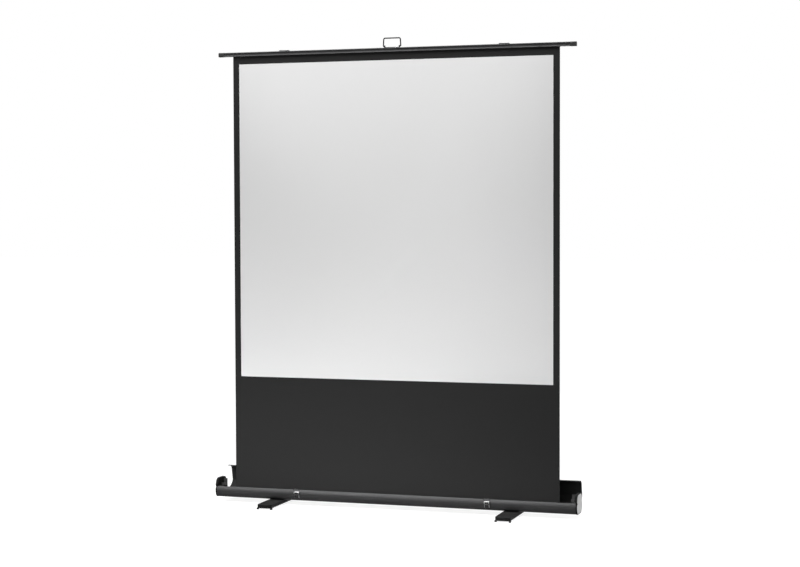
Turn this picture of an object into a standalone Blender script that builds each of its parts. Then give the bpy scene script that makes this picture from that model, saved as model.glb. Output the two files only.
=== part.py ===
"""Pull-up projection screen: floor case, spring roller, rear knee arms, top bar and sheet.

Metres, +Z up. X runs along the case, the picture faces -Y, the floor is Z = 0 and the
origin lies under the middle of the case. The screen stands raised with its lid open.
"""

import math

import bmesh
import bpy
from mathutils import Matrix
from mathutils import Vector
from mathutils.geometry import interpolate_bezier


# Driving dimensions

GAP = 0.0003
SLIDE = 0.0005

PICTURE_WIDTH = 1.600
PICTURE_HEIGHT = 1.556
PICTURE_LOW = 0.633
SIDE_BORDER = 0.032
TOP_BORDER = 0.03955
SHEET_THICK = 0.0005

TUBE_OVER = 0.0360
BAR_OVER = 0.0120
PLUG_HEAD = 0.0300
SADDLE_WIDE = 0.0210
SADDLE_SHORT = 0.0010
CHEEK_THICK = 0.0050
CHEEK_SET = 0.0010
SHAFT_SHORT = 0.0012
LID_BEYOND = 0.0020
LID_END_GAP = 0.0015
BOSS_DEEP = 0.0065
CAP_PLATE = 0.0057
CAP_RIM = 0.0008
END_PLATE = 0.0012

CASE_FLOOR = 0.025
WALL = 0.0022
LID_WALL = 0.0020
RIM_Y = 0.0440
RIM_Z = 0.0800
BULGE_Y = 0.0572
BULGE_Z = 0.0610
FLOOR_FLAT = 0.0280
LID_TOP = 0.1195
LID_SHOULDER = 0.0495
SKIRT_Y = 0.0580
SKIRT_Z = 0.0740
HINGE_Y = 0.0615
HINGE_Z = 0.0470
BEAD_R = 0.0030
KNUCKLE_IN = BEAD_R + 0.0004
KNUCKLE_OUT = KNUCKLE_IN + 0.0020
WEB_ANGLE = 200.0
LID_OPEN = 79.0

ROLLER_Y = -0.0290
ROLLER_Z = 0.0520
TUBE_R = 0.0165
TUBE_WALL = 0.0015
TURNS_R = 0.0181
SHAFT_R = 0.0045
ROLLER_FLANGE = 0.0120
ROLLER_SPIGOT = 0.0200
SPRING_WIRE = 0.0012
SPRING_LENGTH = 0.3600
SPRING_TURNS = 10
SPRING_STEPS = 12

BAR_Y = -0.0040
BAR_DEPTH = 0.0220
BAR_HEIGHT = 0.0205
BAR_WALL = 0.0016
PLUG_RIM = 0.0005
SLOT_HALF = 0.0008

ARM_INSET = 0.2720
RAISED_ANGLE = 63.605
ARM_WIDE = 0.0220
ARM_THICK = 0.0060
BASE_PIVOT_Z = 0.0655
BAR_PIVOT_DROP = 0.0235
MID_Y = 0.0195
PLATE = 0.0030
LAYER_GAP = 0.0010
KNEE_GAP = 0.0020
PIN_R = 0.0040
HOLE_R = PIN_R + GAP
BRACKET_WIDE = 0.0485

FOOT_BESIDE = 0.0420
FOOT_HALF = 0.2115
FOOT_WIDE = 0.0760
FOOT_CORNER = 0.0200
FOOT_STEEL = 0.0020
FOOT_TOP = CASE_FLOOR - SLIDE
FOOT_EDGE = 0.0080
PAD_R = 0.0065
PAD_SIDE = 0.0027
PAD_END = 0.0145
BOLT_R = 0.0060

LATCH_BESIDE = 0.0730
LATCH_HALF = 0.0125
LATCH_STEEL = 0.0014
LEVER_HALF = 0.0100
LEVER_Y = -0.0645
LEVER_Z = 0.0660
LOOP_Y = -0.0670
LOOP_Z = 0.0575
LOOP_TOP_Y = -0.0625
LOOP_TOP_Z = 0.0855
LOOP_HALF = 0.0142
LOOP_WIRE = 0.0011

HANDLE_HALF_FOOT = 0.0440
HANDLE_HALF_TOP = 0.0425
HANDLE_RISE = 0.0395
HANDLE_WIRE = 0.0030
HANDLE_LUG = 0.0030
HANDLE_BEND = 0.0050
STRIP = 0.0020

# Lengths, heights and depths that follow from them

SHEET_HALF = PICTURE_WIDTH / 2 + SIDE_BORDER
TUBE_HALF = SHEET_HALF + TUBE_OVER
BAR_HALF = TUBE_HALF + BAR_OVER
SADDLE_OUT = BAR_HALF + PLUG_HEAD - SADDLE_SHORT
SADDLE_IN = SADDLE_OUT - SADDLE_WIDE
CHEEK_OUT = SADDLE_OUT - CHEEK_SET
SHAFT_HALF = SADDLE_OUT - SHAFT_SHORT
LID_HALF = SADDLE_OUT + LID_BEYOND
BOSS_IN = LID_HALF + LID_END_GAP
CASE_HALF = BOSS_IN + BOSS_DEEP
CAP_OUT = CASE_HALF + GAP + CAP_PLATE
ARM_X = SHEET_HALF - ARM_INSET
FOOT_X = ARM_X + FOOT_BESIDE
LATCH_X = ARM_X - LATCH_BESIDE
PAD_X = FOOT_WIDE / 2 - PAD_SIDE
PAD_Y = FOOT_HALF - PAD_END

SHEET_Y = ROLLER_Y + TURNS_R + GAP + SHEET_THICK / 2
BAR_BOTTOM = PICTURE_LOW + PICTURE_HEIGHT + TOP_BORDER
BAR_Z = BAR_BOTTOM + BAR_HEIGHT / 2
BAR_TOP = BAR_BOTTOM + BAR_HEIGHT
BAR_PIVOT_Z = BAR_Z - BAR_PIVOT_DROP
RAISED = math.radians(RAISED_ANGLE)
ARM_LENGTH = (BAR_PIVOT_Z - BASE_PIVOT_Z) / 2 / math.sin(RAISED)
KNEE_X = ARM_X - ARM_LENGTH * math.cos(RAISED)
KNEE_Z = BASE_PIVOT_Z + ARM_LENGTH * math.sin(RAISED)
UPPER_IN = PLATE / 2 + LAYER_GAP
UPPER_OUT = UPPER_IN + ARM_THICK
LOWER_IN = UPPER_OUT + KNEE_GAP
LOWER_OUT = LOWER_IN + ARM_THICK
BRACKET_IN = LOWER_OUT + SLIDE
BRACKET_OUT = BRACKET_IN + PLATE
HANDLE_Z = BAR_TOP + GAP + STRIP + HANDLE_WIRE + 0.0012
FLOOR_IN = CASE_FLOOR + WALL


# Scene, collections and materials

for old in list(bpy.data.objects):
    bpy.data.objects.remove(old, do_unlink=True)

PARTS = bpy.data.collections.new("pull_up_projection_screen")
CUTTERS = bpy.data.collections.new("cutters")
bpy.context.scene.collection.children.link(PARTS)
bpy.context.scene.collection.children.link(CUTTERS)

FINISHES = {
    "anodised": ((0.085, 0.085, 0.088), 0.9, 0.42),
    "bar_aluminium": ((0.060, 0.060, 0.062), 0.9, 0.38),
    "black_plastic": ((0.012, 0.012, 0.012), 0.0, 0.45),
    "grey_plate": ((0.50, 0.50, 0.50), 0.3, 0.45),
    "grey_plastic": ((0.14, 0.14, 0.14), 0.0, 0.50),
    "sheet": ((0.70, 0.70, 0.70), 0.0, 0.90),
    "black_steel": ((0.016, 0.016, 0.016), 0.4, 0.45),
    "arm_aluminium": ((0.22, 0.22, 0.22), 0.9, 0.40),
    "steel": ((0.45, 0.45, 0.45), 1.0, 0.35),
    "chrome": ((0.55, 0.55, 0.56), 1.0, 0.18),
    "rubber": ((0.010, 0.010, 0.010), 0.0, 0.80),
}

PIVOTS = {}


def pivot(name, point, parent=None):
    """An empty on a joint's axis, which carries the pieces that move with it."""
    empty = bpy.data.objects.new(name, None)
    empty.empty_display_size = 0.03
    PARTS.objects.link(empty)
    point = Vector(point)
    if parent is None:
        empty.location = point
    else:
        empty.parent = parent
        empty.location = point - PIVOTS[parent.name]
    PIVOTS[name] = point
    return empty


def material(name, finish):
    colour, metallic, roughness = FINISHES[finish]
    made = bpy.data.materials.new(name + "_" + finish)
    made.use_nodes = True
    shader = made.node_tree.nodes["Principled BSDF"]
    shader.inputs["Base Color"].default_value = (*colour, 1.0)
    shader.inputs["Metallic"].default_value = metallic
    shader.inputs["Roughness"].default_value = roughness
    made.diffuse_color = (*colour, 1.0)
    return made


def piece(name, mesh, carrier, finish):
    """Put a mesh made in the object's own frame on the empty that carries it."""
    mesh.transform(Matrix.Translation(-PIVOTS[carrier.name]))
    made = bpy.data.objects.new(name, mesh)
    PARTS.objects.link(made)
    made.parent = carrier
    mesh.materials.append(material(name, finish))
    return made


def cutter(name, mesh):
    made = bpy.data.objects.new(name, mesh)
    CUTTERS.objects.link(made)
    made.hide_render = True
    made.display_type = "WIRE"
    return made


def combine(made, mesh, operation):
    tool = cutter(made.name + "_" + operation.lower() + str(len(made.modifiers)), mesh)
    step = made.modifiers.new(tool.name, "BOOLEAN")
    step.operation = operation
    step.solver = "EXACT"
    step.object = tool


# Shapes

AXES = {
    "X": Matrix(((0, 0, 1, 0), (1, 0, 0, 0), (0, 1, 0, 0), (0, 0, 0, 1))),
    "Y": Matrix(((1, 0, 0, 0), (0, 0, -1, 0), (0, 1, 0, 0), (0, 0, 0, 1))),
    "Z": Matrix.Identity(4),
}


def settle(mesh, smooth):
    """Weld the caps on, face everything out and round off the shading."""
    work = bmesh.new()
    work.from_mesh(mesh)
    bmesh.ops.remove_doubles(work, verts=work.verts, dist=0.000005)
    bmesh.ops.recalc_face_normals(work, faces=work.faces)
    work.to_mesh(mesh)
    work.free()
    if smooth:
        mesh.shade_smooth()
        mesh.set_sharp_from_angle(angle=math.radians(35))
    return mesh


def meshed(curve):
    """The evaluated mesh of a curve, which is then removed."""
    holder = bpy.data.objects.new(curve.name, curve)
    bpy.context.scene.collection.objects.link(holder)
    graph = bpy.context.evaluated_depsgraph_get()
    mesh = bpy.data.meshes.new_from_object(holder.evaluated_get(graph))
    bpy.data.objects.remove(holder, do_unlink=True)
    bpy.data.curves.remove(curve)
    return mesh


def flat(axis, low, high, *loops, smooth=True):
    """A flat outline (with holes) extruded along an axis from low to high.

    Outlines are (Y, Z) for axis X, (X, Z) for axis Y and (X, Y) for axis Z.
    """
    curve = bpy.data.curves.new("outline", "CURVE")
    curve.dimensions = "2D"
    curve.fill_mode = "BOTH"
    curve.extrude = (high - low) / 2
    for loop in loops:
        spline = curve.splines.new("POLY")
        spline.points.add(len(loop) - 1)
        spline.use_cyclic_u = True
        for point, (u, v) in zip(spline.points, loop):
            point.co = (u, v, 0.0, 1.0)
    mesh = meshed(curve)
    middle = (low + high) / 2
    if axis == "Y":
        middle = -middle
    mesh.transform(AXES[axis] @ Matrix.Translation((0, 0, middle)))
    return settle(mesh, smooth)


def wire(points, radius, closed=False):
    """A round bar bent along a path."""
    curve = bpy.data.curves.new("wire", "CURVE")
    curve.dimensions = "3D"
    curve.bevel_depth = radius
    curve.bevel_resolution = 2
    curve.use_fill_caps = True
    spline = curve.splines.new("POLY")
    spline.points.add(len(points) - 1)
    spline.use_cyclic_u = closed
    for point, place in zip(spline.points, points):
        point.co = (*place, 1.0)
    return settle(meshed(curve), True)


def turned(axis, centre, profile, steps=16, ring=False):
    """A turned piece: (radius, place along the axis) points, closed on itself for a ring."""
    mesh = bpy.data.meshes.new("turned")
    work = bmesh.new()
    dots = [work.verts.new((radius, 0.0, along)) for radius, along in profile]
    for first, second in zip(dots, dots[1:]):
        work.edges.new((first, second))
    if ring:
        work.edges.new((dots[-1], dots[0]))
    work.to_mesh(mesh)
    work.free()
    holder = bpy.data.objects.new("turned", mesh)
    bpy.context.scene.collection.objects.link(holder)
    spin = holder.modifiers.new("spin", "SCREW")
    spin.steps = steps
    spin.render_steps = steps
    spin.use_merge_vertices = True
    spin.merge_threshold = 0.00001
    graph = bpy.context.evaluated_depsgraph_get()
    solid = bpy.data.meshes.new_from_object(holder.evaluated_get(graph))
    bpy.data.objects.remove(holder, do_unlink=True)
    bpy.data.meshes.remove(mesh)
    turn = {"X": AXES["X"], "Y": AXES["X"] @ AXES["X"], "Z": AXES["Z"]}[axis]
    solid.transform(Matrix.Translation(centre) @ turn)
    return settle(solid, True)


def rod(axis, centre, radius, low, high, steps=16):
    return turned(axis, centre, [(0, high), (radius, high), (radius, low), (0, low)], steps)


def tube(axis, centre, inner, outer, low, high, steps=16):
    profile = [(outer, high), (outer, low), (inner, low), (inner, high)]
    return turned(axis, centre, profile, steps, ring=True)


def box(low, high):
    outline = [(low[0], low[1]), (high[0], low[1]), (high[0], high[1]), (low[0], high[1])]
    return flat("Z", low[2], high[2], outline, smooth=False)


# Outlines

def bezier(start, first, second, end, count):
    return [(p.x, p.y) for p in interpolate_bezier(
        Vector(start), Vector(first), Vector(second), Vector(end), count)]


def arc(centre, radius, start, stop, count):
    """Points on a circle from one angle to another, in degrees."""
    made = []
    for index in range(count):
        angle = math.radians(start + (stop - start) * index / (count - 1))
        made.append((centre[0] + radius * math.cos(angle), centre[1] + radius * math.sin(angle)))
    return made


def circle(centre, radius, count=16):
    return arc(centre, radius, 0.0, 360.0, count + 1)[:-1]


def mirrored(path):
    return [(-u, v) for u, v in reversed(path)]


def offset(path, distance):
    """The path moved sideways, to its left for a positive distance."""
    made = []
    for index, point in enumerate(path):
        here = Vector(point)
        before = Vector(path[max(index - 1, 0)])
        after = Vector(path[min(index + 1, len(path) - 1)])
        first = here - before if index > 0 else after - here
        second = after - here if index < len(path) - 1 else here - before
        normal_in = Vector((-first.y, first.x)).normalized()
        normal_out = Vector((-second.y, second.x)).normalized()
        normal = (normal_in + normal_out).normalized()
        reach = distance / max(normal.dot(normal_in), 0.4)
        made.append((here.x + normal.x * reach, here.y + normal.y * reach))
    return made


def strip(path, thick):
    """The outline of a bent strip whose middle follows the path."""
    return offset(path, thick / 2) + list(reversed(offset(path, -thick / 2)))


def rounded_box(middle, wide, high, radius, count=5):
    """A rectangle with one radius for each corner: lower right, upper right, upper left, lower left."""
    signs = [(1, -1), (1, 1), (-1, 1), (-1, -1)]
    starts = [270.0, 0.0, 90.0, 180.0]
    made = []
    for (sx, sy), start, r in zip(signs, starts, radius):
        centre = (middle[0] + sx * (wide / 2 - r), middle[1] + sy * (high / 2 - r))
        made += arc(centre, r, start, start + 90.0, count)
    return made


def slot_shape(start, end, radius, count=9):
    """A bar outline with round ends about two centres."""
    angle = math.degrees(math.atan2(end[1] - start[1], end[0] - start[0]))
    tip = arc(end, radius, angle - 90.0, angle + 90.0, count)
    tail = arc(start, radius, angle + 90.0, angle + 270.0, count)
    return tip + tail


def place_on(path, height):
    """Where a path that rises in Z crosses a height, or its end that lies nearest to it."""
    for (u0, v0), (u1, v1) in zip(path, path[1:]):
        low, high = sorted((v0, v1))
        if low <= height <= high and high > low:
            return u0 + (u1 - u0) * (height - v0) / (v1 - v0)
    return min((path[0], path[-1]), key=lambda point: abs(point[1] - height))[0]


def stretch(path, low, high):
    """The piece of a rising path between two heights."""
    inside = [point for point in path if low + 0.0005 < point[1] < high - 0.0005]
    return [(place_on(path, low), low)] + inside + [(place_on(path, high), high)]


# Sections of the case, as (Y, Z)

front_low = bezier((-FLOOR_FLAT, CASE_FLOOR), (-0.0470, CASE_FLOOR),
                   (-BULGE_Y, 0.0400), (-BULGE_Y, BULGE_Z), 17)
front_high = bezier((-BULGE_Y, BULGE_Z), (-BULGE_Y, 0.0705),
                    (-0.0520, 0.0775), (-RIM_Y, RIM_Z), 10)
front_wall = front_low + front_high[1:]

lid_low = bezier((-SKIRT_Y, SKIRT_Z), (-0.0572, 0.0860),
                 (-0.0535, 0.0945), (-LID_SHOULDER, 0.1030), 8)
lid_high = bezier((-LID_SHOULDER, 0.1030), (-0.0455, 0.1105),
                  (-0.0390, LID_TOP), (-0.0260, LID_TOP), 11)
lid_front = lid_low + lid_high[1:]

hinge = (HINGE_Y, HINGE_Z)
half_web = math.degrees(math.asin(WALL / 2 / BEAD_R))
bead = arc(hinge, BEAD_R, WEB_ANGLE + half_web, WEB_ANGLE + 360.0 - half_web, 15)
web = Vector((math.cos(math.radians(WEB_ANGLE)), math.sin(math.radians(WEB_ANGLE))))
web_foot = (bead[0][0] + web.x * 0.010, bead[0][1] + web.y * 0.010)
rear_low = bezier((FLOOR_FLAT, CASE_FLOOR), (0.0420, CASE_FLOOR), web_foot, bead[0], 13)
base_outer = list(reversed(front_wall)) + rear_low
base_inner = offset(base_outer, WALL)
base_section = base_outer + bead[1:-1] + list(reversed(base_inner))

knuckle_top = arc(hinge, KNUCKLE_OUT, 15.0, -55.0, 6)
knuckle_bore = arc(hinge, KNUCKLE_IN, -55.0, 130.0, 13)
knuckle_lip = arc(hinge, KNUCKLE_OUT, 130.0, 120.0, 2)
lid_rear = mirrored(lid_high) + [(0.0535, 0.0940), (0.0570, 0.0850)]
lid_outer = lid_front + lid_rear
lid_inner = offset(lid_outer, -LID_WALL)
lid_section = lid_outer + knuckle_top + knuckle_bore + knuckle_lip[:1] + list(reversed(lid_inner))

notch = [(-0.0475, RIM_Z - 0.0025), (-0.0530, RIM_Z + 0.0008)]
waist = stretch(front_wall, CASE_FLOOR, 0.0755) + notch + stretch(lid_front, 0.0860, LID_TOP)
cap_outline = offset(waist + mirrored(waist), CAP_RIM)


def opened(point):
    """A lid point turned from the shut lid to the standing lid."""
    angle = math.radians(LID_OPEN)
    y = point[0] - HINGE_Y
    z = point[1] - HINGE_Z
    turned_y = y * math.cos(angle) + z * math.sin(angle)
    turned_z = z * math.cos(angle) - y * math.sin(angle)
    return (HINGE_Y + turned_y, HINGE_Z + turned_z)


# Carriers on the joint axes

case = pivot("case", (0, 0, 0))
roller = pivot("roller", (0, ROLLER_Y, ROLLER_Z), case)
lid = pivot("lid", (0, HINGE_Y, HINGE_Z), case)
SIDES = {"left": -1, "right": 1}
feet = {}
lower = {}
upper = {}
levers = {}
loops = {}
for side, sign in SIDES.items():
    feet[side] = pivot("foot_swivel_" + side, (sign * FOOT_X, 0, FOOT_TOP), case)
    lower[side] = pivot("base_pivot_" + side, (sign * ARM_X, MID_Y, BASE_PIVOT_Z), case)
    upper[side] = pivot("knee_" + side, (sign * KNEE_X, MID_Y, KNEE_Z), lower[side])
    levers[side] = pivot("lever_pivot_" + side, (sign * LATCH_X, LEVER_Y, LEVER_Z), case)
    loops[side] = pivot("loop_pivot_" + side, (sign * LATCH_X, LOOP_Y, LOOP_Z), levers[side])
bar = pivot("bar_pivot", (-ARM_X, MID_Y, BAR_PIVOT_Z), upper["left"])
bail = pivot("bail_pivot", (0, BAR_Y, HANDLE_Z), bar)


# Case base, end caps and end plates

base = piece("case_base", flat("X", -CASE_HALF, CASE_HALF, base_section), case, "anodised")
for sign in (-1, 1):
    hole = rod("Z", (sign * FOOT_X, 0, 0), BOLT_R + GAP, CASE_FLOOR - 0.002, FLOOR_IN + 0.002)
    combine(base, hole, "DIFFERENCE")

boss_front = offset(front_wall, -WALL - GAP)
boss_edge = [point for point in boss_front if point[1] < 0.0700]
boss_lip = [(-RIM_Y + WALL + 0.0023, RIM_Z + 0.004), (-RIM_Y + WALL + 0.0023, RIM_Z - 0.002)]
boss_rear = [(0.0340, FLOOR_IN + 0.0030), (0.0440, 0.0410), (0.0440, RIM_Z + 0.004)]
boss = boss_lip + list(reversed(boss_edge)) + boss_rear
upper_cap = [point for point in cap_outline if point[1] > RIM_Z + 0.0006]
for side, sign in SIDES.items():
    plate = sorted((sign * (CASE_HALF + GAP), sign * CAP_OUT))
    thick = sorted((sign * BOSS_IN, sign * (CAP_OUT - 0.0010)))
    spigot = sorted((sign * (BOSS_IN + 0.0005), sign * (CASE_HALF + 0.0020)))
    cap = piece("end_cap_" + side, flat("X", *plate, cap_outline), case, "black_plastic")
    combine(cap, flat("X", *thick, offset(upper_cap, -0.0004)), "UNION")
    combine(cap, flat("X", *spigot, boss), "UNION")
    face = sorted((sign * (CAP_OUT + GAP), sign * (CAP_OUT + GAP + END_PLATE)))
    inset = offset(waist + mirrored(waist), -0.0030)
    piece("end_plate_" + side, flat("X", *face, inset), case, "grey_plate")


# Roller, its brackets and the turns of sheet that stay on it

seat_z = 0.0826
saddle_in = BAR_DEPTH / 2 + PLUG_RIM + SLIDE
saddle = [
    (BAR_Y - saddle_in, 0.0940),
    (BAR_Y - saddle_in - 0.0022, 0.0940),
    (BAR_Y - saddle_in - 0.0022, seat_z - 0.0024),
    (BAR_Y + saddle_in, seat_z - 0.0024),
    (BAR_Y + saddle_in, 0.0620),
    (BAR_Y + saddle_in + 0.0022, 0.0620),
    (BAR_Y + saddle_in + 0.0022, 0.1120),
    (BAR_Y + saddle_in, 0.1120),
    (BAR_Y + saddle_in, seat_z),
    (BAR_Y - saddle_in, seat_z),
]
cheek = [
    (-0.0430, 0.0350),
    (-0.0370, 0.0290),
    (-0.0130, 0.0290),
    (-0.0080, 0.0700),
    (-0.0080, seat_z - 0.0010),
    (-0.0160, seat_z - 0.0010),
    (-0.0430, 0.0640),
]
axle = (ROLLER_Y, ROLLER_Z)
for side, sign in SIDES.items():
    wide = sorted((sign * SADDLE_IN, sign * SADDLE_OUT))
    thin = sorted((sign * (CHEEK_OUT - CHEEK_THICK), sign * CHEEK_OUT))
    bracket = flat("X", *wide, saddle)
    holder = piece("roller_bracket_" + side, bracket, case, "grey_plastic")
    combine(holder, flat("X", *thin, cheek, circle(axle, SHAFT_R + GAP)), "UNION")

axis_point = (0, ROLLER_Y, ROLLER_Z)
piece("roller_shaft", rod("X", axis_point, SHAFT_R, -SHAFT_HALF, SHAFT_HALF), case, "steel")
piece("roller_tube", tube("X", axis_point, TUBE_R - TUBE_WALL, TUBE_R, -TUBE_HALF, TUBE_HALF, 28),
      roller, "arm_aluminium")
piece("sheet_wrap", tube("X", axis_point, TUBE_R + GAP, TURNS_R, -SHEET_HALF, SHEET_HALF, 28),
      roller, "sheet")
for side, sign in SIDES.items():
    bore = SHAFT_R + GAP
    spigot_r = TUBE_R - TUBE_WALL - GAP
    end = TUBE_HALF + GAP
    profile = [
        (TUBE_R, sign * (end + ROLLER_FLANGE)),
        (TUBE_R, sign * end),
        (spigot_r, sign * end),
        (spigot_r, sign * (TUBE_HALF - ROLLER_SPIGOT)),
        (bore, sign * (TUBE_HALF - ROLLER_SPIGOT)),
        (bore, sign * (end + ROLLER_FLANGE)),
    ]
    piece("roller_plug_" + side, turned("X", axis_point, profile, 24, ring=True), roller, "black_plastic")

spring_r = (SHAFT_R + SPRING_WIRE + GAP) / math.cos(math.pi / SPRING_STEPS)
spring_from = -TUBE_HALF + ROLLER_SPIGOT + SPRING_WIRE + GAP
coil = []
for index in range(SPRING_TURNS * SPRING_STEPS + 1):
    angle = 2 * math.pi * index / SPRING_STEPS
    along = spring_from + SPRING_LENGTH * index / (SPRING_TURNS * SPRING_STEPS)
    coil.append((along, ROLLER_Y + spring_r * math.cos(angle), ROLLER_Z + spring_r * math.sin(angle)))
piece("roller_spring", wire(coil, SPRING_WIRE), roller, "steel")


# Sheet, from the back of the roller up into the slot of the bar

sheet_top = BAR_BOTTOM + BAR_WALL + 0.0015
piece("screen_sheet", box((-SHEET_HALF, SHEET_Y - SHEET_THICK / 2, ROLLER_Z),
                          (SHEET_HALF, SHEET_Y + SHEET_THICK / 2, sheet_top)), case, "sheet")


# Lid with its hinge knuckle, and the catches of the latches

piece("case_lid", flat("X", -LID_HALF, LID_HALF, [opened(p) for p in lid_section]), lid, "anodised")
catch_path = list(reversed(offset(stretch(lid_front, 0.0830, 0.0980), GAP + LATCH_STEEL / 2)))
catch_path += [(-0.0605, 0.0798), (-0.0635, 0.0806), (-0.0641, 0.0865)]
catch = [opened(p) for p in strip(catch_path, LATCH_STEEL)]
for side, sign in SIDES.items():
    piece("lid_catch_" + side, flat("X", sign * LATCH_X - 0.0110, sign * LATCH_X + 0.0110, catch),
          lid, "chrome")


# Toggle latches: base plate with two ears, lever, wire loop

plate_path = offset(stretch(front_wall, 0.0420, 0.0705), GAP + LATCH_STEEL / 2)
ear = [(-0.0583, 0.0590), (-0.0583, 0.0700)]
ear += arc((LEVER_Y, LEVER_Z), 0.0046, 90.0, 270.0, 7)
lever_path = [(LEVER_Y, LEVER_Z), (-0.0640, 0.0580), (-0.0620, 0.0490), (-0.0585, 0.0425)]
loop_run = math.hypot(LOOP_TOP_Y - LOOP_Y, LOOP_TOP_Z - LOOP_Z)
loop_lean = (LOOP_TOP_Y - LOOP_Y) / loop_run
loop_rise = (LOOP_TOP_Z - LOOP_Z) / loop_run
ring = rounded_box((0, loop_run / 2), 2 * LOOP_HALF, loop_run, (0.0035,) * 4, 4)
for side, sign in SIDES.items():
    x = sign * LATCH_X
    pin_at = (x, LEVER_Y, LEVER_Z)
    plate_mesh = flat("X", x - LATCH_HALF, x + LATCH_HALF, strip(plate_path, LATCH_STEEL))
    latch = piece("latch_plate_" + side, plate_mesh, case, "chrome")
    for edge in (-1, 1):
        span = sorted((x + edge * (LATCH_HALF - 0.0004), x + edge * (LATCH_HALF - 0.0018)))
        hole = circle((LEVER_Y, LEVER_Z), 0.0018, 12)
        combine(latch, flat("X", *span, ear, hole), "UNION")
    blade = flat("X", x - LEVER_HALF, x + LEVER_HALF, strip(lever_path, 0.0016))
    lever = piece("latch_lever_" + side, blade, levers[side], "chrome")
    combine(lever, rod("X", pin_at, 0.0030, -LEVER_HALF + 0.0004, LEVER_HALF - 0.0004, 16), "UNION")
    combine(lever, rod("X", pin_at, 0.0015, -LATCH_HALF, LATCH_HALF, 12), "UNION")
    lug_at = (x, LOOP_Y, LOOP_Z)
    combine(lever, rod("X", lug_at, 0.0030, -LEVER_HALF + 0.0015, LEVER_HALF - 0.0015, 16), "UNION")
    combine(lever, rod("X", lug_at, LOOP_WIRE + GAP, -0.02, 0.02, 12), "DIFFERENCE")
    path = [(x + u, LOOP_Y + v * loop_lean, LOOP_Z + v * loop_rise) for u, v in ring]
    piece("latch_loop_" + side, wire(path, LOOP_WIRE, closed=True), loops[side], "chrome")


# Swivel feet: pressed trays, open below, with rubber pads, on shouldered bolts

for side, sign in SIDES.items():
    x = sign * FOOT_X
    plan = rounded_box((x, 0), FOOT_WIDE, 2 * FOOT_HALF, (FOOT_CORNER,) * 4, 6)
    hollow = rounded_box((x, 0), FOOT_WIDE - 2 * FOOT_STEEL, 2 * (FOOT_HALF - FOOT_STEEL),
                         (FOOT_CORNER - FOOT_STEEL,) * 4, 6)
    bolt_hole = circle((x, 0), BOLT_R + GAP, 24)
    tray = flat("Z", FOOT_EDGE, FOOT_TOP, plan, bolt_hole)
    foot = piece("foot_" + side, tray, feet[side], "black_steel")
    combine(foot, flat("Z", FOOT_EDGE - 0.002, FOOT_TOP - FOOT_STEEL, hollow), "DIFFERENCE")
    for row, front in (("front", -1), ("rear", 1)):
        for column, edge in (("outer", sign), ("inner", -sign)):
            spot = (x + edge * PAD_X, front * PAD_Y, 0)
            pad = turned("Z", spot, [
                (0, FOOT_EDGE - GAP),
                (PAD_R, FOOT_EDGE - GAP),
                (PAD_R, 0.0012),
                (PAD_R - 0.0012, 0.0),
                (0, 0.0),
            ])
            piece("foot_pad_" + side + "_" + row + "_" + column, pad, feet[side], "rubber")
    bolt = turned("Z", (x, 0, 0), [
        (0, FLOOR_IN + 0.0030),
        (0.0090, FLOOR_IN + 0.0030),
        (0.0100, FLOOR_IN + 0.0020),
        (0.0100, FLOOR_IN + GAP),
        (BOLT_R, FLOOR_IN + GAP),
        (BOLT_R, FOOT_TOP - FOOT_STEEL - GAP),
        (0.0120, FOOT_TOP - FOOT_STEEL - GAP),
        (0.0110, FOOT_TOP - FOOT_STEEL - 0.0030),
        (0.0060, FOOT_TOP - FOOT_STEEL - 0.0045),
        (0, FOOT_TOP - FOOT_STEEL - 0.0045),
    ])
    piece("foot_bolt_" + side, bolt, case, "steel")


# Knee arms. The left pair lies before the middle plane and the right pair behind it.

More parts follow.
